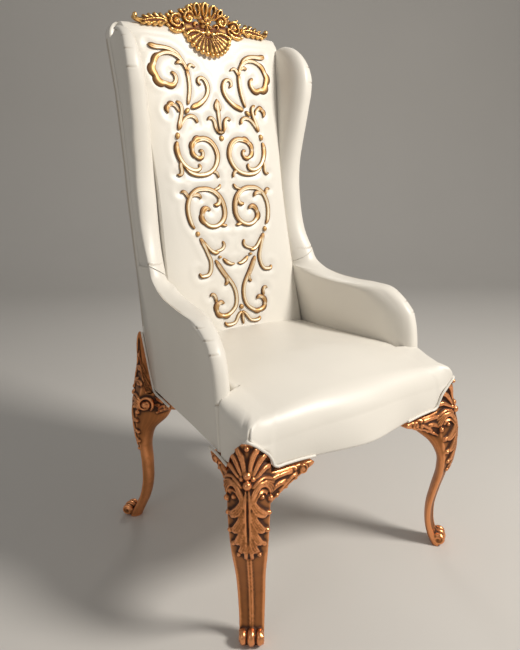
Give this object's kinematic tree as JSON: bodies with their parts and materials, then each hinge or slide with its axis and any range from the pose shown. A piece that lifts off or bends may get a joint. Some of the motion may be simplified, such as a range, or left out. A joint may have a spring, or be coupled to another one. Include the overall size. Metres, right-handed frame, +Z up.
{
  "type": "throne",
  "caption": "High-back wing throne with padded seat, rolled arms, raised scrollwork on the inside back, a pierced carved crest and carved cabriole legs.",
  "frame": {"origin": "on the floor, under the middle of the bounding box", "axes": "+Z up, +Y towards the back, +X towards the sitter's left"},
  "size_m": [0.632, 0.6681, 1.316],
  "materials": {
    "leather": "smooth, soft sheen",
    "copper_gold": "satin gilt with dark recesses",
    "yellow_gold": "satin gilt with red-brown recesses",
    "scroll_gold": "satin gilt, cream along the middle"
  },
  "bodies": {
    "root": {"back": "leather", "wing_left": "leather", "wing_right": "leather", "arm_left": "leather", "arm_right": "leather", "seat": "leather", "leg_front_left": "copper_gold", "leg_front_right": "copper_gold", "leg_rear_left": "copper_gold", "leg_rear_right": "copper_gold", "crest": "yellow_gold", "scroll_crown_left": "scroll_gold", "scroll_crown_right": "scroll_gold", "comma_left": "scroll_gold", "comma_right": "scroll_gold", "palm_left": "scroll_gold", "palm_right": "scroll_gold", "spiral_left": "scroll_gold", "spiral_right": "scroll_gold", "lower_scroll_left": "scroll_gold", "lower_scroll_right": "scroll_gold", "branch_left": "scroll_gold", "branch_right": "scroll_gold", "long_scroll_left": "scroll_gold", "long_scroll_right": "scroll_gold", "small_leaf_left": "scroll_gold", "small_leaf_right": "scroll_gold", "bead_upper_left": "scroll_gold", "bead_upper_right": "scroll_gold", "bead_shoulder_left": "scroll_gold", "bead_shoulder_right": "scroll_gold", "bead_waist_left": "scroll_gold", "bead_waist_right": "scroll_gold", "bead_branch_left": "scroll_gold", "bead_branch_right": "scroll_gold", "fleur": "scroll_gold", "fleur_bead": "scroll_gold", "palmette": "scroll_gold", "palmette_bead": "scroll_gold"}
  },
  "joints": []
}
